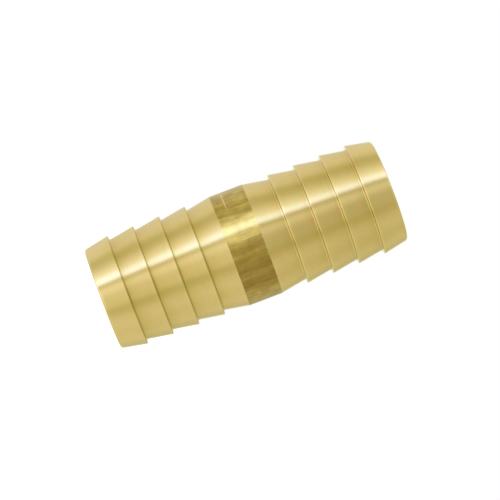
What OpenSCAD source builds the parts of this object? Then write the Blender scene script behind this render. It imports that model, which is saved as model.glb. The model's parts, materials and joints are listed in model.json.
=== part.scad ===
// Hose mender: one piece of brass, turned from round bar, with a barbed tail at each end.
// It stands on one end. The bore's axis is Z, and the origin is the middle of that end.

/* [Hose] */
// Bore of the hose that each tail is pushed into
hose_bore = 19.05; // [10:0.05:40]
// How much wider than the hose's bore the barbs are
barb_grip = 1.45; // [0.6:0.01:2.4]

/* [Barbs] */
// Number of barbs on each tail
barbs = 4; // [2:1:6]
// Distance from one barb's step to the next
barb_pitch = 4.87; // [3:0.01:8]
// Height of each step, from its foot to the crest of the barb
step_h = 0.77; // [0.4:0.01:1.1]
// Width of the straight land on each crest
crest_land = 0.3; // [0.1:0.05:0.8]
// Radius of the fillet that the turning tool leaves at the foot of each step
foot_r = 0.2; // [0.05:0.01:0.3]

/* [Ends] */
// Distance from the outermost step to the end of the tail
lead_len = 4.8; // [3:0.05:8]
// How far the outermost barb falls from its crest to the end of the tail
lead_fall = 0.9; // [0.5:0.05:1.2]
// Radius that rounds the outer edge of the end
nose_r = 0.6; // [0.2:0.05:0.8]

/* [Bore] */
// Wall between the bore and the foot of each step
wall = 1.53; // [1.1:0.01:4]
// Chamfer round each mouth of the bore
mouth_chamfer = 0.3; // [0.1:0.05:0.45]

/* [Middle] */
// How far the band of bare bar stands above the crests
band_h = 0.07; // [0.05:0.01:1]
// Length of the band of bare bar
band_len = 6.22; // [2:0.02:20]
// Length of the cone from the band down to the first step
shoulder_len = 4.72; // [3:0.02:12]

/* [Hidden] */
// Diameters over the crests, at the foot of the steps, over the band, at the end, and of the bore
crest_d = hose_bore + barb_grip;
root_d = crest_d - 2 * step_h;
bar_d = crest_d + 2 * band_h;
end_d = crest_d - 2 * lead_fall;
bore_d = root_d - 2 * wall;
// Distances from the middle of the mender to its innermost steps and to its ends
first_step = band_len / 2 + shoulder_len;
half_len = first_step + (barbs - 1) * barb_pitch + lead_len;
// Slopes of the shoulder, of a barb between two steps, and of the outermost barb
shoulder_a = atan((bar_d - root_d) / 2 / shoulder_len);
barb_a = atan(step_h / (barb_pitch - crest_land));
lead_a = atan(lead_fall / (lead_len - crest_land));
// How far a cutting shape runs past the surface that it cuts
past = 0.1;
// How deep a slope runs into the circle that rounds its foot, so that the two cross cleanly
seat = 0.0001;
// Steps in a full turn of the lathe, and in the small circles that round the corners
turn_steps = 160;
arc_steps = 48;
// Brass as it leaves the lathe
brass = [0.83, 0.74, 0.47];

// Distance from the middle of the mender to step i of a tail, counted outwards
function step_at(i) = first_step + i * barb_pitch;

// Slope of the cone that comes down to the foot of step i
function slope_to(i) = i == 0 ? shoulder_a : barb_a;

// Middle of the circle that rounds the foot of step i. It touches the step and the cone.
function foot_centre(i) =
    [root_d / 2 + foot_r * (1 + sin(slope_to(i))) / cos(slope_to(i)), step_at(i) - foot_r];

// Middle of the circle that rounds the outer edge of the end
nose_centre = [end_d / 2 - nose_r * (1 - sin(lead_a)) / cos(lead_a), half_len - nose_r];

// Outline of a tail from the band to the end, as radius and distance from the middle. At each foot
// it runs out to the middle of the fillet's circle, between the two points where they meet.
tail_corners = concat(
    [[bar_d / 2, band_len / 2]],
    [for (i = [0 : barbs - 1]) each [
        foot_centre(i) - (foot_r - seat) * [cos(slope_to(i)), sin(slope_to(i))],
        foot_centre(i),
        foot_centre(i) + [0, foot_r],
        [crest_d / 2, step_at(i)],
        [crest_d / 2, step_at(i) + crest_land]
    ]],
    [[end_d / 2, half_len]]
);

// Repeats its shape on the other tail
module both_tails() {
    children();
    mirror([0, 1]) children();
}

// Outline of the whole mender with sharp ends and no fillets
module rough_outline() {
    last = len(tail_corners) - 1;
    polygon(concat(
        tail_corners,
        [[0, half_len], [0, -half_len]],
        [for (i = [last : -1 : 0]) [tail_corners[i][0], -tail_corners[i][1]]]
    ));
}

// Circles that leave a fillet at the foot of each step of one tail
module foot_circles() {
    for (i = [0 : barbs - 1])
        translate(foot_centre(i)) circle(foot_r, $fn = arc_steps);
}

// What is turned off the outer edge of one end to round it
module nose_waste() {
    difference() {
        polygon([
            [end_d / 2 + past, half_len + past],
            nose_centre + [0, nose_r],
            nose_centre,
            nose_centre + nose_r * [cos(lead_a), sin(lead_a)]
        ]);
        translate(nose_centre) circle(nose_r, $fn = arc_steps);
    }
}

// Outline that is turned: barbs with a fillet at each foot, and tails with rounded ends
module turned_outline() {
    difference() {
        rough_outline();
        both_tails() foot_circles();
        both_tails() nose_waste();
    }
}

// Bore from end to end, opened by a chamfer at both mouths
module bore() {
    cylinder(h = 2 * (half_len + past), d = bore_d, center = true, $fn = turn_steps);
    for (way = [0, 180])
        rotate([way, 0, 0])
            translate([0, 0, half_len - mouth_chamfer])
                cylinder(
                    h = mouth_chamfer + past,
                    d1 = bore_d,
                    d2 = bore_d + 2 * (mouth_chamfer + past),
                    $fn = turn_steps
                );
}

// The mender, standing on one end
module mender_body() {
    color(brass)
        translate([0, 0, half_len])
            difference() {
                rotate_extrude($fn = turn_steps) turned_outline();
                bore();
            }
}

mender_body();
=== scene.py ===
"""A brass hose mender, turned from one bar, dressed and lit for its photograph."""

from __future__ import annotations

import json
import logging
import math
from collections.abc import Mapping, Sequence
from dataclasses import dataclass, replace
from enum import Enum
from typing import Any

import bmesh
import bpy
from mathutils import Matrix, Vector


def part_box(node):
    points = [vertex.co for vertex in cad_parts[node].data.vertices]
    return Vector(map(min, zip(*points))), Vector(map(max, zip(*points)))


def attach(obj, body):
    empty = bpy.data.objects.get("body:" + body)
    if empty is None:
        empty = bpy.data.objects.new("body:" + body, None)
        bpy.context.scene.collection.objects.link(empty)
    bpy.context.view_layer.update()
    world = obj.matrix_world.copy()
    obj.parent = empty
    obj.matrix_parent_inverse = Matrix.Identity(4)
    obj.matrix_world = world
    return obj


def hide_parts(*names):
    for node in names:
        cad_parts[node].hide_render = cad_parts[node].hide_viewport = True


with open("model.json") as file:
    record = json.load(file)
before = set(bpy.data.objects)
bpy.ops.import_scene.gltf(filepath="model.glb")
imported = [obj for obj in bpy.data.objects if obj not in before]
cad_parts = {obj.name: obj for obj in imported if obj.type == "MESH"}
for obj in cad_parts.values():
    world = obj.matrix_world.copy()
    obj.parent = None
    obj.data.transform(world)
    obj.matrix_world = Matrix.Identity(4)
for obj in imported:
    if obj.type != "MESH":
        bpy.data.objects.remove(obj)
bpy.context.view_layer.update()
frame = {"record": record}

LOG = logging.getLogger("hose_mender")
MM = 0.001
NODE = "mender_body"
BODY = "root"
# What most of a noise lies between
NOISE = (0.3, 0.7)
# Places on the way out of a corner, as shares of the reach, with the wear and painted highlight, and the
# painted shade, left there
FADE = ((0.12, 0.6, 0.95), (0.45, 0.2, 0.55), (1.0, 0.0, 0.0))
# How a dim wall loses blue, and how a bright one loses red and gains blue, by its level
DIM_BLUE, BRIGHT_RED, BRIGHT_BLUE = 1.1, 0.15, 0.85


def linear(code: str) -> tuple[float, float, float, float]:
    """Turns an sRGB hex colour into the linear one that shaders take.

    Args:
        code: Colour as "#rrggbb".

    Returns:
        Red, green, blue and an alpha of 1.
    """
    parts = [int(code[i : i + 2], 16) / 255 for i in (1, 3, 5)]
    red, green, blue = (
        p / 12.92 if p <= 0.04045 else ((p + 0.055) / 1.055) ** 2.4 for p in parts
    )
    return red, green, blue, 1.0


def add_node(
    tree: bpy.types.NodeTree,
    kind: str,
    settings: Mapping[str, Any] | None = None,
    feeds: Mapping[int | str, Any] | None = None,
) -> bpy.types.Node:
    """Adds one node with its settings and what goes into it.

    Args:
        tree: Node tree that gets the node.
        kind: The node's type, without its leading "ShaderNode".
        settings: Properties of the node by name.
        feeds: Inputs by name or number, each a constant or the output of another node.

    Returns:
        The new node.
    """
    node = tree.nodes.new("ShaderNode" + kind)
    for name, value in (settings or {}).items():
        setattr(node, name, value)
    for key, value in (feeds or {}).items():
        if isinstance(value, bpy.types.NodeSocket):
            tree.links.new(value, node.inputs[key])
        else:
            node.inputs[key].default_value = value
    return node


def add_ramp(
    tree: bpy.types.NodeTree, share: Any, stops: Sequence[tuple[float, tuple[float, float, float]]]
) -> bpy.types.NodeSocket:
    """Adds a colour ramp.

    Args:
        tree: Node tree that gets the ramp.
        share: What the ramp reads, from 0 to 1.
        stops: Place and linear colour of each stop, in order.

    Returns:
        The colour.
    """
    ramp = add_node(tree, "ValToRGB", feeds={0: share})
    elements = ramp.color_ramp.elements
    while len(elements) < len(stops):
        elements.new(0.5)
    for element, (position, colour) in zip(elements, stops, strict=True):
        element.position = position
        element.color = (*colour[:3], 1.0)
    return ramp.outputs[0]


def share_of_turn(
    tree: bpy.types.NodeTree, x: Any, y: Any, towards: float, lean: Any = 0.0
) -> bpy.types.NodeSocket:
    """Finds a direction round the axis as a share of the full turn.

    Args:
        tree: Node tree that gets the nodes.
        x: The direction's X.
        y: The direction's Y.
        towards: 1 where the share grows from the camera's side towards +X, -1 towards -X.
        lean: How far the direction is taken as nearer to the camera's side than it is.

    Returns:
        The share, 0.5 on the camera's side.
    """
    side = add_node(tree, "Math", {"operation": "MULTIPLY"}, {0: x, 1: towards})
    front = add_node(tree, "Math", {"operation": "SUBTRACT"}, {0: lean, 1: y})
    angle = add_node(tree, "Math", {"operation": "ARCTAN2"}, {0: side.outputs[0], 1: front.outputs[0]})
    feeds = {"Value": angle.outputs[0], 1: -math.pi, 2: math.pi, 3: 0.0, 4: 1.0}
    return add_node(tree, "MapRange", feeds=feeds).outputs[0]


def blank_material(name: str) -> tuple[bpy.types.Material, bpy.types.NodeTree]:
    """Makes a material with an empty node tree.

    Args:
        name: The material's name.

    Returns:
        The material and its node tree.
    """
    material = bpy.data.materials.new(name)
    material.use_nodes = True
    material.node_tree.nodes.clear()
    return material, material.node_tree


class Finish(Enum):
    """How a stretch of the mender's surface was made."""

    TURNED = 0
    DRAWN = 1
    FACED = 2
    DRILLED = 3


class End(Enum):
    """An end of the mender, with the sign of its side of the middle."""

    LOWER = -1
    UPPER = 1


@dataclass(frozen=True)
class Corner:
    """A corner of the lathe outline.

    Attributes:
        radius: Distance from the axis, in mm.
        height: Height above the floor, in mm.
        rounding: Radius that rounds the corner, in mm.
        finish: Finish of the corner and of the stretch that starts here, on the way up the outside.
        wear_and_highlight: How far handling has polished the corner, and how much painted highlight it has,
            from 0 to 1.
        painted_shade: How much painted shade darkens the corner, from 0 to 1.
        after: Finish of that stretch, where it isn't the corner's own.
    """

    radius: float
    height: float
    rounding: float
    finish: Finish
    wear_and_highlight: float = 0.0
    painted_shade: float = 0.0
    after: Finish | None = None


@dataclass(frozen=True)
class OutlinePoint:
    """A point of the rounded outline.

    Attributes:
        place: Radius and height, in mm.
        normal: Outward direction in the same plane.
        finish: Finish of the stretch that starts here.
        wear_and_highlight: Polish from handling, and painted highlight, at this point.
        painted_shade: Painted shade at this point.
    """

    place: Vector
    normal: Vector
    finish: Finish
    wear_and_highlight: float
    painted_shade: float


def round_corners(corners: Sequence[Corner], step_deg: float) -> list[OutlinePoint]:
    """Rounds every corner of a closed outline with an arc that touches both of its sides.

    Args:
        corners: The outline, with the metal on the left.
        step_deg: Largest turn between two points of an arc.

    Returns:
        The points of the rounded outline, each with its true outward direction.
    """
    points: list[OutlinePoint] = []
    places = [Vector((c.radius, c.height)) for c in corners]
    for i, corner in enumerate(corners):
        arriving = (places[i] - places[i - 1]).normalized()
        leaving = (places[(i + 1) % len(places)] - places[i]).normalized()
        turn = math.atan2(arriving.cross(leaving), arriving.dot(leaving))
        side = math.copysign(1.0, turn)
        first_normal = Vector((arriving.y, -arriving.x))
        start = places[i] - arriving * corner.rounding * math.tan(abs(turn) / 2)
        centre = start - first_normal * corner.rounding * side
        steps = max(2, math.ceil(math.degrees(abs(turn)) / step_deg))
        for k in range(steps + 1):
            turned = turn * k / steps
            normal = Matrix.Rotation(turned, 2) @ first_normal
            leaves = corner.after is not None and k == steps
            points.append(
                OutlinePoint(
                    place=centre + normal * corner.rounding * side,
                    normal=normal,
                    finish=corner.after if leaves else corner.finish,
                    wear_and_highlight=corner.wear_and_highlight,
                    painted_shade=corner.painted_shade,
                )
            )
    return points


def fade_marks(points: Sequence[OutlinePoint], reach: float) -> list[OutlinePoint]:
    """Keeps wear, painted highlight and painted shade close to the corners, by six more points on each long
    stretch.

    Args:
        points: The rounded outline.
        reach: Distance from a corner, in mm, where its wear and painted light have faded out.

    Returns:
        The outline with the points that were added.
    """
    found: list[OutlinePoint] = []
    for i, point in enumerate(points):
        found.append(point)
        follower = points[(i + 1) % len(points)]
        stretch = follower.place - point.place
        if stretch.length > 2 * reach:
            for source, way, stages in ((point, 1, FADE), (follower, -1, FADE[::-1])):
                for share, worn_and_lit, shaded in stages:
                    place = source.place + stretch.normalized() * reach * share * way
                    marks = {"wear_and_highlight": source.wear_and_highlight * worn_and_lit, "painted_shade": source.painted_shade * shaded}
                    found.append(replace(source, place=place, finish=point.finish, **marks))
    return found


@dataclass(frozen=True)
class MiddleBand:
    """Band of bare bar in the middle, with a cone down to the first step on both sides.

    Attributes:
        bar_radius: Radius of the bar, in mm.
        length: Length of the band, in mm.
        shoulder: Length of each cone, in mm.
        edge_round: Radius of the edge between band and cone, in mm.
        sits_low: How far the band is below the middle, in mm, as the two tails were turned apart.
    """

    bar_radius: float
    length: float = 6.22
    shoulder: float = 4.72
    edge_round: float = 0.25
    sits_low: float = 0.13

    def corners(self, middle: float) -> list[Corner]:
        """Gives the band's two corners.

        Args:
            middle: Height of the middle of the mender, in mm.

        Returns:
            The lower and the upper corner.
        """
        half, middle = self.length / 2, middle - self.sits_low
        return [
            Corner(self.bar_radius, middle - half, self.edge_round, Finish.DRAWN, wear_and_highlight=0.4),
            Corner(self.bar_radius, middle + half, self.edge_round, Finish.TURNED, wear_and_highlight=0.4),
        ]


@dataclass(frozen=True)
class StepMarks:
    """Marks on the steps of a tail, each from 0 to 1: painted shade, and wear with a painted highlight.

    Attributes:
        foot_shade: Painted shade in the corner at the foot.
        edge_shade: Painted shade along the edge.
        edge_wear_and_highlight: Polish along the edge, with a painted highlight.
    """

    foot_shade: float
    edge_shade: float
    edge_wear_and_highlight: float


@dataclass(frozen=True)
class HoseTail:
    """Barbed tail that a hose is pushed over.

    Attributes:
        crest_radius: Radius over the barbs, in mm.
        barbs: Number of barbs.
        pitch: Distance from one step to the next, in mm.
        step: Height of a step, in mm.
        land: Width of the straight land on a crest, in mm.
        lead: Distance from the outermost step to the end, in mm.
        lead_fall: How far the outermost barb falls to the end, in mm.
        foot_round: Radius of the fillet at the foot of a step, in mm.
        crest_round: Radius of the edge that grips the hose, in mm.
        land_round: Radius where the land turns into the cone, in mm.
        nose_round: Radius of the outer edge of the end, in mm.
        lower_marks: Marks on the lower tail, where the steps face up: painted shade at the feet and edges,
            and a little wear on the edges.
        upper_marks: Marks on the upper tail, where they face down: less painted shade at the feet, and a
            painted highlight on the edges.
    """

    crest_radius: float
    barbs: int = 4
    pitch: float = 4.87
    step: float = 0.77
    land: float = 0.3
    lead: float = 4.8
    lead_fall: float = 0.9
    foot_round: float = 0.3
    crest_round: float = 0.18
    land_round: float = 0.5
    nose_round: float = 0.6
    lower_marks: StepMarks = StepMarks(0.5, 0.7, 0.1)
    upper_marks: StepMarks = StepMarks(0.3, 0.0, 1.0)

    def length(self) -> float:
        """Gives the distance from the innermost step to the end, in mm."""
        return (self.barbs - 1) * self.pitch + self.lead

    def corners(self, end: End, first_step: float, middle: float) -> list[Corner]:
        """Gives the tail's corners on the way up the outside.

        Args:
            end: Which tail this is.
            first_step: Distance from the middle of the mender to the innermost step, in mm.
            middle: Height of the middle of the mender, in mm.

        Returns:
            The corners, from the lowest to the highest.
        """
        root = self.crest_radius - self.step
        marks = self.lower_marks if end is End.LOWER else self.upper_marks
        rows: list[tuple[float, float, float, float, float]] = []
        for i in range(self.barbs):
            at = first_step + i * self.pitch
            # Columns: radius, distance from the middle, rounding, wear with painted highlight, painted shade.
            rows.append((root, at, self.foot_round, 0.0, marks.foot_shade))
            rows.append((self.crest_radius, at, self.crest_round, marks.edge_wear_and_highlight, marks.edge_shade))
            rows.append((self.crest_radius, at + self.land, self.land_round, 0.6, 0.0))
        nose = self.crest_radius - self.lead_fall
        rows.append((nose, first_step + self.length(), self.nose_round, 0.7, 0.0))
        found = [
            Corner(radius, middle + end.value * out, rounding, Finish.TURNED, wear_and_highlight, painted_shade)
            for radius, out, rounding, wear_and_highlight, painted_shade in rows
        ]
        if end is End.LOWER:
            return found[::-1]
        return [*found[:-1], replace(found[-1], after=Finish.FACED)]


@dataclass(frozen=True)
class ThroughBore:
    """Bore from end to end.

    Attributes:
        radius: Radius of the bore, in mm.
        chamfer: Width of the chamfer at each mouth, in mm.
        lip_round: Radius of the edges of the chamfer, in mm.
    """

    radius: float
    chamfer: float = 0.3
    lip_round: float = 0.05

    def corners(self, end: End, height: float) -> list[Corner]:
        """Gives the two corners of one mouth on the way round the outline.

        Args:
            end: Which end the mouth is in.
            height: Height of that end, in mm.

        Returns:
            For the upper end the lip and then the bore's edge, and the other way round below.
        """
        lip_radius = self.radius + self.chamfer
        lip = Corner(lip_radius, height, self.lip_round, Finish.FACED, wear_and_highlight=0.8)
        inner_height = height - end.value * self.chamfer
        inner = Corner(self.radius, inner_height, self.lip_round, Finish.DRILLED, wear_and_highlight=0.3)
        if end is End.UPPER:
            return [lip, inner]
        return [Corner(inner.radius, inner.height, inner.rounding, Finish.FACED), lip]


@dataclass(frozen=True)
class BrassFinish:
    """What all finishes of the brass share.

    The alloy is free-cutting brass: a yellow metal that greys the greens a little and keeps
    a warm tone where light has bounced twice.

    Attributes:
        name: The material's name.
        colour: Colour of the clean metal.
        dull: Colour where the metal has lost its shine.
        roughness: Roughness across the tool marks.
        anisotropic: How much longer a highlight is across the marks than along them.
        marks_turned: Share of a full turn that sets the highlight across the marks.
    """

    name: str
    colour: str
    dull: str
    roughness: float
    anisotropic: float
    marks_turned: float

    def noise(
        self, tree: bpy.types.NodeTree, vector: Any, scale: float, detail: float
    ) -> bpy.types.NodeSocket:
        """Adds an even noise in space.

        Args:
            tree: Node tree of the material.
            vector: Coordinates that the noise reads.
            scale: Grains for each unit of the coordinates.
            detail: Octaves of finer grain.

        Returns:
            The noise, around 0.5.
        """
        feeds = {"Vector": vector, "Scale": scale, "Detail": detail, "Roughness": 0.55}
        return add_node(tree, "TexNoise", feeds=feeds).outputs["Fac"]

    def rescaled(
        self, tree: bpy.types.NodeTree, value: Any, low: float, high: float, to_low: float, to_high: float
    ) -> bpy.types.NodeSocket:
        """Spreads a value from one range onto another, and holds it inside.

        Args:
            tree: Node tree of the material.
            value: The value to spread.
            low: Lower end of its range.
            high: Upper end of its range.
            to_low: What the lower end becomes.
            to_high: What the upper end becomes.

        Returns:
            The spread value.
        """
        feeds = {"Value": value, 1: low, 2: high, 3: to_low, 4: to_high}
        return add_node(tree, "MapRange", {"clamp": True}, feeds).outputs[0]

    def blended(
        self, tree: bpy.types.NodeTree, share: Any, base: Any, over: Any
    ) -> bpy.types.NodeSocket:
        """Blends two colours.

        Args:
            tree: Node tree of the material.
            share: How much of the second colour shows.
            base: First colour.
            over: Second colour.

        Returns:
            The blended colour.
        """
        settings = {"data_type": "RGBA", "blend_type": "MIX"}
        feeds = {0: share, 6: base, 7: over}
        return add_node(tree, "Mix", settings, feeds).outputs[2]

    def along_marks(self, tree: bpy.types.NodeTree, spacing_mm: float, detail: float) -> bpy.types.NodeSocket:
        """Adds the rings that a lathe tool leaves, as a noise along the outline.

        Args:
            tree: Node tree of the material.
            spacing_mm: Distance from ring to ring.
            detail: Octaves of finer rings.

        Returns:
            The noise, around 0.5.
        """
        run = add_node(tree, "Attribute", {"attribute_name": "run_mm"}).outputs["Fac"]
        settings = {"noise_dimensions": "1D"}
        feeds = {"W": run, "Scale": 1 / spacing_mm, "Detail": detail, "Roughness": 0.6}
        return add_node(tree, "TexNoise", settings, feeds).outputs["Fac"]

    def shade(
        self,
        tree: bpy.types.NodeTree,
        colour: bpy.types.NodeSocket,
        roughness: bpy.types.NodeSocket,
        height: bpy.types.NodeSocket,
        depth_mm: float,
    ) -> None:
        """Adds the metal's shader and the output.

        Args:
            tree: Node tree of the material.
            colour: Colour of the metal over the surface.
            roughness: Roughness over the surface.
            height: Relief, from 0 to 1.
            depth_mm: Depth of that relief.
        """
        bump = add_node(tree, "Bump", feeds={"Height": height, "Distance": depth_mm * MM})
        tangent = add_node(tree, "Tangent", {"direction_type": "RADIAL", "axis": "Z"})
        metal = add_node(
            tree,
            "BsdfPrincipled",
            feeds={
                "Base Color": colour,
                "Metallic": 1.0,
                "Roughness": roughness,
                "Anisotropic": self.anisotropic,
                "Anisotropic Rotation": self.marks_turned,
                "Tangent": tangent.outputs[0],
                "Normal": bump.outputs[0],
            },
        )
        add_node(tree, "OutputMaterial", feeds={"Surface": metal.outputs[0]})


@dataclass(frozen=True)
class TurnedBrass(BrassFinish):
    """Free-cutting brass as a lathe tool leaves it.

    Fine rings run round the surface. They stretch a highlight along the axis and keep it
    sharp around the bar.

    Attributes:
        warm: Colour of the spots that are warmer than the rest.
        cool: Colour of the spots that are cooler.
        worn_and_lit: Colour where handling has polished the metal, and of the painted highlight.
        shaded: Colour of the painted shade.
        ring_mm: Spacing of the rings. The real feed is about 0.1 mm, and it is drawn coarser
            because rings that fine would not show.
        ring_depth_mm: Depth of the rings.
        patch_mm: Size of the faint patches in the tone.
        spots_finer: How many times finer the spots are than the patches.
    """

    name: str = "free_cutting_brass_turned"
    colour: str = "#D9C182"
    dull: str = "#D0B772"
    roughness: float = 0.25
    anisotropic: float = 0.8
    marks_turned: float = 0.25
    warm: str = "#DDBC7C"
    cool: str = "#CFC078"
    worn_and_lit: str = "#E4D092"
    shaded: str = "#B4A23C"
    ring_mm: float = 0.3
    ring_depth_mm: float = 0.0006
    patch_mm: float = 2.5
    spots_finer: float = 2.2

    def material(self) -> bpy.types.Material:
        """Builds the material.

        Returns:
            The brass of both tails and shoulders.
        """
        material, tree = blank_material(self.name)
        place = add_node(tree, "TexCoord").outputs["Object"]
        rings = self.along_marks(tree, self.ring_mm, 2.0)
        patches = self.noise(tree, place, 1 / (self.patch_mm * MM), 3.0)
        spots = self.noise(tree, place, self.spots_finer / (self.patch_mm * MM), 1.0)
        wear_and_highlight = add_node(tree, "Attribute", {"attribute_name": "wear_and_highlight"}).outputs["Fac"]
        painted_shade = add_node(tree, "Attribute", {"attribute_name": "painted_shade"}).outputs["Fac"]
        # What lies over the clean metal: where it starts, where it is fullest, how much, its colour
        coats = (
            (patches, 0.35, 0.7, 0.35, self.dull),
            (rings, *NOISE, 0.25, self.dull),
            (spots, 0.52, 0.72, 0.6, self.warm),
            (spots, 0.48, 0.28, 0.6, self.cool),
            # The wear coat is partly a painted highlight, on the upper tail's crest edges, and the coat after
            # it is painted shade at the feet of the steps and on the lower tail's crest edges.
            (wear_and_highlight, 0.0, 1.0, 0.4, self.worn_and_lit),
            (painted_shade, 0.0, 1.0, 0.5, self.shaded),
        )
        tone: Any = linear(self.colour)
        for value, start, full, most, shade in coats:
            share = self.rescaled(tree, value, start, full, 0.0, most)
            tone = self.blended(tree, share, tone, linear(shade))
        rough = self.rescaled(tree, rings, *NOISE, self.roughness - 0.02, self.roughness + 0.02)
        self.shade(tree, tone, rough, rings, self.ring_depth_mm)
        return material


@dataclass(frozen=True)
class DrawnBrass(BrassFinish):
    """Brass bar as it comes from the drawing die.

    An olive film covers it, thick and thin in streaks that run along the bar, and in places it
    has gone brown. Its thickness round the bar also paints the band's light: a painted highlight
    where it is thin and clean, and partly painted shade where it is thick. A scratch runs part of
    the way round.

    Attributes:
        brown: Colour of the thickest film.
        rust: Colour that the film turns in blotches.
        film_round_with_painted_light: Thickness of the film round the bar, which also paints the
            band's highlight, where it is 0, and part of its shade. Each entry is an angle in degrees,
            from the camera's side towards +X, and a share, where 0.5 is an even film and 1 the thickest.
        streak_mm: Width of the streaks.
        line_mm: Width of the die's fine lines. The real ones are finer, and are drawn coarser
            because they would not show.
        stretch: How many times longer a streak is than wide.
        blotch_mm: Size of the blotches.
        scratch_mm: Height of the scratch above the floor, and its width.
        scratch_deg: Angles between which the scratch runs.
        bare: Colour of the metal in the scratch.
        rust_finer: How many times finer the brown patches are than the blotches.
        line_depth_mm: Depth of the die's lines.
    """

    name: str = "brass_bar_drawn"
    colour: str = "#DBC473"
    dull: str = "#AE964E"
    roughness: float = 0.25
    anisotropic: float = 0.2
    marks_turned: float = 0.25
    brown: str = "#93783A"
    rust: str = "#A07A48"
    film_round_with_painted_light: tuple[tuple[float, float], ...] = (
        (-180, 0.20),
        (-150, 0.35),
        (-120, 0.15),
        (-85, 0.20),
        (-72, 0.45),
        (-62, 0.48),
        (-54, 0.36),
        (-48, 0.45),
        (-44, 0.48),
        (-41, 0.34),
        (-32, 0.38),
        (-26, 0.20),
        (-22, 0.06),
        (-19, 0.00),
        (-12, 0.00),
        (-8, 0.14),
        (-3, 0.40),
        (2, 0.66),
        (9, 0.52),
        (16, 0.60),
        (21, 0.68),
        (26, 1.00),
        (30, 0.72),
        (36, 0.84),
        (43, 1.00),
        (48, 0.70),
        (54, 0.48),
        (65, 0.45),
        (95, 0.60),
        (125, 0.30),
        (150, 0.55),
        (180, 0.20),
    )
    streak_mm: float = 0.9
    line_mm: float = 0.3
    stretch: float = 9.0
    blotch_mm: float = 1.8
    scratch_mm: tuple[float, float] = (26.05, 0.22)
    scratch_deg: tuple[float, float] = (-78.0, -40.0)
    bare: str = "#E6D09A"
    rust_finer: float = 1.6
    line_depth_mm: float = 0.0015

    def material(self) -> bpy.types.Material:
        """Builds the material.

        Returns:
            The brass of the band.
        """
        material, tree = blank_material(self.name)
        place = add_node(tree, "TexCoord").outputs["Object"]
        parts = add_node(tree, "SeparateXYZ", feeds={0: place})
        share = share_of_turn(tree, parts.outputs[0], parts.outputs[1], towards=1.0)
        squeezed = add_node(tree, "Mapping", feeds={"Vector": place, "Scale": (1.0, 1.0, 1 / self.stretch)})
        streaks = self.noise(tree, squeezed.outputs[0], 1 / (self.streak_mm * MM), 2.0)
        lines = self.noise(tree, squeezed.outputs[0], 1 / (self.line_mm * MM), 2.0)
        blotches = self.noise(tree, place, 1 / (self.blotch_mm * MM), 2.0)
        # The film's ramp round the bar is partly real tarnish and partly painted light: clean where the
        # band's highlight falls, darker where it is shaded.
        film_and_painted_light = add_ramp(tree, share, [((angle + 180) / 360, (f, f, f)) for angle, f in self.film_round_with_painted_light])
        for value, most in ((streaks, 0.16), (lines, 0.09), (blotches, 0.12)):
            film_and_painted_light = self.added(tree, film_and_painted_light, self.rescaled(tree, value, *NOISE, -most, most))
        tones = ((0.0, self.colour), (0.5, self.dull), (1.0, self.brown))
        tone = add_ramp(tree, film_and_painted_light, [(at, linear(shade)) for at, shade in tones])
        patches = self.noise(tree, place, self.rust_finer / (self.blotch_mm * MM), 1.0)
        aged = add_node(tree, "Math", {"operation": "MULTIPLY", "use_clamp": True}, {0: film_and_painted_light, 1: 0.9})
        rusty = self.rescaled(tree, patches, 0.5, 0.75, 0.0, 0.8)
        rusty = add_node(tree, "Math", {"operation": "MULTIPLY"}, {0: rusty, 1: aged.outputs[0]}).outputs[0]
        tone = self.blended(tree, rusty, tone, linear(self.rust))
        scratch = self.scratch(tree, parts.outputs[2], share)
        tone = self.blended(tree, scratch, tone, linear(self.bare))
        rough = self.rescaled(tree, film_and_painted_light, 0.0, 1.0, self.roughness - 0.04, self.roughness + 0.1)
        self.shade(tree, tone, rough, lines, self.line_depth_mm)
        return material

    def added(self, tree: bpy.types.NodeTree, base: Any, more: Any) -> bpy.types.NodeSocket:
        """Adds two values, and holds the sum between 0 and 1.

        Args:
            tree: Node tree of the material.
            base: First value.
            more: Second value.

        Returns:
            The sum.
        """
        return add_node(tree, "Math", {"operation": "ADD", "use_clamp": True}, {0: base, 1: more}).outputs[0]

    def scratch(self, tree: bpy.types.NodeTree, height: Any, share: Any) -> bpy.types.NodeSocket:
        """Draws the scratch.

        Args:
            tree: Node tree of the material.
            height: Height above the floor, in metres.
            share: Direction round the bar as a share of the full turn.

        Returns:
            How bare the metal is.
        """
        middle, width = self.scratch_mm
        off = add_node(tree, "Math", {"operation": "SUBTRACT"}, {0: height, 1: middle * MM})
        off = add_node(tree, "Math", {"operation": "ABSOLUTE"}, {0: off.outputs[0]})
        across = self.rescaled(tree, off.outputs[0], 0.25 * width * MM, 0.5 * width * MM, 0.8, 0.0)
        first, last = ((angle + 180) / 360 for angle in self.scratch_deg)
        begins = self.rescaled(tree, share, first, first + 0.01, 0.0, 1.0)
        ends = self.rescaled(tree, share, last - 0.02, last, 1.0, 0.0)
        window = add_node(tree, "Math", {"operation": "MULTIPLY"}, {0: begins, 1: ends})
        return add_node(tree, "Math", {"operation": "MULTIPLY"}, {0: across, 1: window.outputs[0]}).outputs[0]


@dataclass(frozen=True)
class FacedBrass(BrassFinish):
    """Brass end faced square on the lathe: bright, with rings round the bore.

    Attributes:
        ring_mm: Spacing of the rings.
        ring_depth_mm: Depth of the rings.
    """

    name: str = "free_cutting_brass_faced"
    colour: str = "#DCC684"
    dull: str = "#CDB46E"
    roughness: float = 0.36
    anisotropic: float = 0.85
    marks_turned: float = 0.25
    ring_mm: float = 0.12
    ring_depth_mm: float = 0.001

    def material(self) -> bpy.types.Material:
        """Builds the material.

        Returns:
            The brass of both ends.
        """
        material, tree = blank_material(self.name)
        rings = self.along_marks(tree, self.ring_mm, 2.0)
        tone = self.blended(
            tree, self.rescaled(tree, rings, 0.35, 0.65, 0.0, 0.6), linear(self.colour), linear(self.dull)
        )
        rough = self.rescaled(tree, rings, *NOISE, self.roughness - 0.04, self.roughness + 0.04)
        self.shade(tree, tone, rough, rings, self.ring_depth_mm)
        return material


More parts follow.
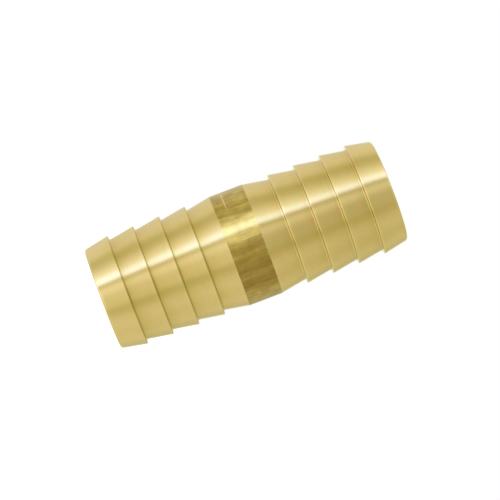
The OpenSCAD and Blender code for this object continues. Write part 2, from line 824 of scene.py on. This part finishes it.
@dataclass(frozen=True)
class DrilledBrass(BrassFinish):
    """Brass bore as a drill leaves it: rings from the lips, and rubbed where chips have passed.

    Attributes:
        ring_mm: Spacing of the rings.
        ring_depth_mm: Depth of the rings.
        rub_mm: Size of the rubbed places.
    """

    name: str = "free_cutting_brass_drilled"
    colour: str = "#C8AE68"
    dull: str = "#A98E4C"
    roughness: float = 0.42
    anisotropic: float = 0.8
    marks_turned: float = 0.25
    ring_mm: float = 0.45
    ring_depth_mm: float = 0.004
    rub_mm: float = 3.0

    def material(self) -> bpy.types.Material:
        """Builds the material.

        Returns:
            The brass of the bore.
        """
        material, tree = blank_material(self.name)
        place = add_node(tree, "TexCoord").outputs["Object"]
        rings = self.along_marks(tree, self.ring_mm, 3.0)
        rubs = self.noise(tree, place, 1 / (self.rub_mm * MM), 3.0)
        tone = self.blended(
            tree, self.rescaled(tree, rings, *NOISE, 0.0, 0.8), linear(self.colour), linear(self.dull)
        )
        tone = self.blended(tree, self.rescaled(tree, rubs, 0.45, 0.7, 0.0, 0.6), tone, linear(self.dull))
        rough = self.rescaled(tree, rings, *NOISE, self.roughness - 0.05, self.roughness + 0.08)
        self.shade(tree, tone, rough, rings, self.ring_depth_mm)
        return material


@dataclass(frozen=True)
class Mender:
    """The whole mender: one turned piece.

    Attributes:
        height: Overall height, in mm.
        tail: Either of its tails.
        band: Its middle band with both shoulders.
        bore: Its bore.
        segments: Facets around the axis.
        arc_step: Largest turn between two points of a rounded corner, in degrees.
        mark_reach: How far wear and painted light reach from a corner, in mm.
    """

    height: float
    tail: HoseTail
    band: MiddleBand
    bore: ThroughBore
    segments: int = 240
    arc_step: float = 11.0
    mark_reach: float = 2.1

    def outline(self) -> list[Corner]:
        """Gives the closed outline, up the outside and down the bore.

        Returns:
            The outline's corners, with the metal on the left.
        """
        middle = self.height / 2
        first_step = self.band.length / 2 + self.band.shoulder
        return [
            *self.bore.corners(End.LOWER, 0.0),
            *self.tail.corners(End.LOWER, first_step, middle),
            *self.band.corners(middle),
            *self.tail.corners(End.UPPER, first_step, middle),
            *self.bore.corners(End.UPPER, self.height),
        ]

    def build(self) -> bpy.types.Object:
        """Turns the outline into a mesh.

        Returns:
            The mender as one object, its faces marked with their finish.
        """
        points = fade_marks(round_corners(self.outline(), self.arc_step), self.mark_reach)
        shape = bmesh.new()
        run_layer = shape.verts.layers.float.new("run_mm")
        wear_and_highlight_layer = shape.verts.layers.float.new("wear_and_highlight")
        painted_shade_layer = shape.verts.layers.float.new("painted_shade")
        rings: list[list[bmesh.types.BMVert]] = []
        normals: list[Vector] = []
        run = 0.0
        for i, point in enumerate(points):
            run += (point.place - points[i - 1].place).length if i else 0.0
            ring = []
            for k in range(self.segments):
                angle = math.tau * k / self.segments
                out = Vector((math.cos(angle), math.sin(angle), 0.0))
                place = out * point.place.x + Vector((0.0, 0.0, point.place.y))
                vert = shape.verts.new(place * MM)
                vert[run_layer], vert[wear_and_highlight_layer], vert[painted_shade_layer] = run, point.wear_and_highlight, point.painted_shade
                ring.append(vert)
                normals.append(out * point.normal.x + Vector((0.0, 0.0, point.normal.y)))
            rings.append(ring)
        for i, point in enumerate(points):
            low, high = rings[i], rings[(i + 1) % len(rings)]
            for k in range(self.segments):
                n = (k + 1) % self.segments
                face = shape.faces.new((low[k], low[n], high[n], high[k]))
                face.material_index = point.finish.value
                face.smooth = True
        mesh = bpy.data.meshes.new(NODE + "_dressed")
        shape.to_mesh(mesh)
        shape.free()
        mesh.normals_split_custom_set_from_vertices(normals)
        made = bpy.data.objects.new("mender", mesh)
        bpy.context.scene.collection.objects.link(made)
        return made

    def dress(self, made: bpy.types.Object) -> None:
        """Gives the mender its finishes.

        Args:
            made: The mender's object.
        """
        finishes = {
            Finish.TURNED: TurnedBrass(),
            Finish.DRAWN: DrawnBrass(),
            Finish.FACED: FacedBrass(),
            Finish.DRILLED: DrilledBrass(),
        }
        for finish in Finish:
            made.data.materials.append(finishes[finish].material())

    def place(self, made: bpy.types.Object) -> None:
        """Sets the mender on its body in place of the plain solid.

        Args:
            made: The mender's object.
        """
        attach(made, BODY)
        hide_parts(NODE)


@dataclass(frozen=True)
class PhotoCamera:
    """The photograph's camera, level with the lower half of the mender.

    The mender stands upright, so the camera is rolled until the axis leans as in the picture.

    Attributes:
        distance: Distance from the axis, in mm.
        height: Height of the camera, in mm.
        aim: Point of the axis plane in the middle of the picture, as X and height in mm.
        lean_deg: Slope of the mender's axis in the picture.
        lens: Focal length, in mm.
        sensor: Width of the sensor, in mm.
        clip: Nearest and furthest distance that it sees, in metres.
    """

    distance: float = 465.0
    height: float = 16.6
    aim: tuple[float, float] = (1.12, 27.55)
    lean_deg: float = 20.8
    lens: float = 188.0
    sensor: float = 36.0
    clip: tuple[float, float] = (0.05, 50.0)

    def build(self) -> bpy.types.Object:
        """Sets up the camera.

        Returns:
            The camera, which the scene uses.
        """
        data = bpy.data.cameras.new("photo_camera")
        data.lens = self.lens
        data.sensor_width = self.sensor
        data.clip_start, data.clip_end = self.clip
        camera = bpy.data.objects.new("photo_camera", data)
        bpy.context.scene.collection.objects.link(camera)
        eye = Vector((self.aim[0], -self.distance, self.height)) * MM
        target = Vector((self.aim[0], 0.0, self.aim[1])) * MM
        back = (eye - target).normalized()
        lean = math.radians(self.lean_deg)
        up = Vector((-math.cos(lean), 0.0, math.sin(lean)))
        right = up.cross(back).normalized()
        up = back.cross(right)
        camera.matrix_world = Matrix.Translation(eye) @ Matrix((right, up, back)).transposed().to_4x4()
        bpy.context.scene.camera = camera
        return camera


@dataclass(frozen=True)
class Wall:
    """Brightness of the studio in one direction round the mender.

    Attributes:
        angle: Direction in degrees, from the camera's side towards -X.
        level: Brightness level with the mender.
        tilt: Share by which it is brighter low down, and darker high up.
    """

    angle: float
    level: float
    tilt: float

    def stop(self, colour: tuple[float, float, float]) -> tuple[float, tuple[float, float, float]]:
        """Gives a colour's place on a ramp round the mender."""
        return (self.angle + 180) / 360, colour

    def colour(self) -> tuple[float, float, float]:
        """Gives the colour of the light: dim walls are warm, and bright ones turn cool."""
        over, under = max(self.level - 1, 0.0), max(1 - self.level, 0.0)
        red, blue = 1 - BRIGHT_RED * over, 1 - DIM_BLUE * under + BRIGHT_BLUE * over**2
        return self.level * red, self.level, self.level * blue


@dataclass(frozen=True)
class Studio:
    """White studio: a pale floor, and pale walls that the brass mirrors.

    Attributes:
        floor_size: Side of the floor, in metres.
        walls: The walls, from behind the mender once round it.
        low_light: How much of a wall's tilt is added, from straight down at 0 to straight up at 1.
        tilt_span: What is added of a tilt where low_light is 0 and where it is 1.
        high_tint: Colour that the walls' upper parts tend to.
        high_span: Heights, on low_light's scale, between which they take on that colour.
        lean_from: How near to the camera's side a direction is taken at the least, from 0 straight
            behind the mender to 2, where the lean of the walls is worked out.
        floor_colour: Colour of the floor.
        floor_glow: Light that the camera alone sees on the floor, which makes it white.
        lamp_size: Side of the lamp, in metres.
        lamp_watts: Power of the lamp.
        lamp_at: Place of the lamp, in metres.
    """

    floor_size: float = 4.0
    walls: tuple[Wall, ...] = (
        Wall(-180, 1.15, 0.10),
        Wall(-169, 0.90, 0.12),
        Wall(-158, 0.65, 0.12),
        Wall(-148, 0.67, 0.14),
        Wall(-137.7, 0.76, 0.15),
        Wall(-122.5, 0.86, 0.19),
        Wall(-88.9, 0.84, 0.25),
        Wall(-65, 0.91, 0.19),
        Wall(-49.1, 0.86, 0.18),
        Wall(-39.3, 0.75, 0.18),
        Wall(-30.4, 0.69, 0.18),
        Wall(-21.6, 0.83, 0.40),
        Wall(0, 0.88, 0.44),
        Wall(6.9, 1.02, 0.36),
        Wall(14.7, 1.17, 0.28),
        Wall(19.6, 1.05, 0.22),
        Wall(24.5, 0.71, 0.25),
        Wall(28.4, 0.86, 0.40),
        Wall(31.4, 1.95, 0.24),
        Wall(37.3, 1.98, 0.14),
        Wall(47.2, 1.40, 0.13),
        Wall(59, 1.07, 0.10),
        Wall(71.9, 0.82, 0.10),
        Wall(82.9, 0.74, 0.12),
        Wall(90.9, 0.82, 0.16),
        Wall(100.9, 0.97, 0.10),
        Wall(114.4, 1.00, 0.03),
        Wall(130.6, 0.97, 0.03),
        Wall(142.9, 0.93, 0.03),
        Wall(156, 0.82, 0.06),
        Wall(169, 0.94, 0.10),
        Wall(180, 1.15, 0.10),
    )
    low_light: tuple[tuple[float, float], ...] = (
        (0.0, 1.0),
        (0.2, 0.7),
        (0.28, 0.54),
        (0.35, 0.62),
        (0.5, 0.6),
        (0.74, 0.0),
        (0.87, 0.2),
        (1.0, 0.4),
    )
    tilt_span: tuple[float, float] = (-0.68, 1.0)
    high_tint: str = "#FFFEF3"
    high_span: tuple[float, float] = (0.5, 0.66)
    floor_colour: str = "#E6E6E4"
    floor_glow: float = 0.5
    lamp_size: float = 0.7
    lamp_watts: float = 4.0
    lamp_at: tuple[float, float, float] = (0.0, -0.6, 1.0)
    lean_from: float = 0.7

    def build_walls(self) -> None:
        """Makes the world that the brass mirrors, plain white to the camera."""
        world = bpy.data.worlds.new("white_studio")
        bpy.context.scene.world = world
        world.use_nodes = True
        tree = world.node_tree
        tree.nodes.clear()
        way = add_node(tree, "TexCoord").outputs["Generated"]
        parts = add_node(tree, "SeparateXYZ", feeds={0: way})
        lean = self.lean_over(tree, parts.outputs[1], parts.outputs[2])
        share = share_of_turn(tree, parts.outputs[0], parts.outputs[1], towards=-1.0, lean=lean)
        level = add_ramp(tree, share, [wall.stop(wall.colour()) for wall in self.walls])
        tilt = add_ramp(tree, share, [wall.stop((wall.tilt, wall.tilt, wall.tilt)) for wall in self.walls])
        feeds = {"Value": parts.outputs[2], 1: -1.0, 2: 1.0}
        height = add_node(tree, "MapRange", feeds=feeds).outputs[0]
        low = add_ramp(tree, height, [(at, (s, s, s)) for at, s in self.low_light])
        more = add_node(tree, "MapRange", feeds={"Value": low, 3: self.tilt_span[0], 4: self.tilt_span[1]})
        more = add_node(tree, "Math", {"operation": "MULTIPLY"}, {0: tilt, 1: more.outputs[0]})
        gain = add_node(tree, "Math", {"operation": "ADD"}, {0: more.outputs[0], 1: 1.0})
        tints = ((1.0, 1.0, 1.0), linear(self.high_tint)[:3])
        warm = add_ramp(tree, height, list(zip(self.high_span, tints, strict=True)))
        tinted = add_node(tree, "VectorMath", {"operation": "MULTIPLY"}, {0: level, 1: warm})
        feeds = {"Color": tinted.outputs[0], "Strength": gain.outputs[0]}
        mirrored = add_node(tree, "Background", feeds=feeds)
        plain = add_node(tree, "Background", feeds={"Color": (1.0, 1.0, 1.0, 1.0), "Strength": 1.0})
        rays = add_node(tree, "LightPath")
        shaders = {0: rays.outputs["Is Camera Ray"], 1: mirrored.outputs[0], 2: plain.outputs[0]}
        mix = add_node(tree, "MixShader", feeds=shaders)
        add_node(tree, "OutputWorld", feeds={"Surface": mix.outputs[0]})

    def lean_over(self, tree: bpy.types.NodeTree, away: Any, up: Any) -> bpy.types.NodeSocket:
        """Lets the walls lean over the mender, and under it, towards the back.

        Each then lies in one upright plane, as a tall soft box does, and the highlight that it
        gives runs on over the steps.

        Args:
            tree: Node tree of the world.
            away: How far a direction points away from the camera.
            up: How far it points up.

        Returns:
            How much nearer to the camera's side the direction is taken.
        """
        near = add_node(tree, "Math", {"operation": "SUBTRACT"}, {0: 1.0, 1: away})
        near = add_node(tree, "Math", {"operation": "MAXIMUM"}, {0: near.outputs[0], 1: self.lean_from})
        steep = add_node(tree, "Math", {"operation": "MULTIPLY"}, {0: up, 1: up})
        lean = add_node(tree, "Math", {"operation": "DIVIDE"}, {0: steep.outputs[0], 1: near.outputs[0]})
        return add_node(tree, "Math", {"operation": "MULTIPLY"}, {0: lean.outputs[0], 1: 0.5}).outputs[0]

    def build_floor(self) -> bpy.types.Object:
        """Makes the floor, of white laminate pressed smooth: matt, and the same all over.

        Returns:
            The floor.
        """
        material, tree = blank_material("white_laminate")
        matte = add_node(tree, "BsdfDiffuse", feeds={"Color": linear(self.floor_colour)})
        feeds = {"Color": (1.0, 1.0, 1.0, 1.0), "Strength": self.floor_glow}
        white = add_node(tree, "Emission", feeds=feeds)
        nothing = add_node(tree, "Emission", feeds={"Strength": 0.0})
        rays = add_node(tree, "LightPath")
        shaders = {0: rays.outputs["Is Camera Ray"], 1: nothing.outputs[0], 2: white.outputs[0]}
        glow = add_node(tree, "MixShader", feeds=shaders)
        both = add_node(tree, "AddShader", feeds={0: matte.outputs[0], 1: glow.outputs[0]})
        add_node(tree, "OutputMaterial", feeds={"Surface": both.outputs[0]})
        half = self.floor_size / 2
        shape = bmesh.new()
        corners = ((-half, -half), (half, -half), (half, half), (-half, half))
        shape.faces.new([shape.verts.new((x, y, 0.0)) for x, y in corners])
        mesh = bpy.data.meshes.new("floor")
        shape.to_mesh(mesh)
        shape.free()
        mesh.materials.append(material)
        floor = bpy.data.objects.new("floor", mesh)
        bpy.context.scene.collection.objects.link(floor)
        floor.visible_glossy = False
        return floor

    def build_lamp(self) -> bpy.types.Object:
        """Makes the soft lamp over the camera, which gives the floor its faint shadow.

        Returns:
            The lamp.
        """
        data = bpy.data.lights.new("soft_box", "AREA")
        data.shape = "SQUARE"
        data.size = self.lamp_size
        data.energy = self.lamp_watts
        lamp = bpy.data.objects.new("soft_box", data)
        bpy.context.scene.collection.objects.link(lamp)
        eye = Vector(self.lamp_at)
        lamp.location = eye
        lamp.rotation_mode = "QUATERNION"
        lamp.rotation_quaternion = eye.to_track_quat("Z", "Y")
        lamp.visible_glossy = False
        return lamp


def mender_from_frame() -> Mender:
    """Reads the mender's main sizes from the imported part.

    Returns:
        The mender, with the bar, the crests, the bore and the height as packed.
    """
    low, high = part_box(NODE)
    mounts = {m["name"]: m for m in frame["record"]["mounts"]}
    return Mender(
        height=(high.z - low.z) / MM,
        tail=HoseTail(crest_radius=mounts["hose_tail_upper"]["dims"]["r_mm"]),
        band=MiddleBand(bar_radius=(high.x - low.x) / 2 / MM),
        bore=ThroughBore(radius=mounts["bore"]["dims"]["r_mm"]),
    )


def main() -> None:
    """Builds the camera, the studio and the mender."""
    logging.basicConfig(level=logging.INFO, format="%(name)s: %(message)s")
    bpy.context.scene.view_settings.view_transform = "Standard"
    camera = PhotoCamera().build()
    studio = Studio()
    studio.build_walls()
    floor, lamp = studio.build_floor(), studio.build_lamp()
    LOG.info("set up %s, %s and %s", camera.name, floor.name, lamp.name)
    mender = mender_from_frame()
    made = mender.build()
    mender.dress(made)
    mender.place(made)
    LOG.info("%s: %d vertices, %d faces", made.name, len(made.data.vertices), len(made.data.polygons))


if __name__ == "__main__":
    main()
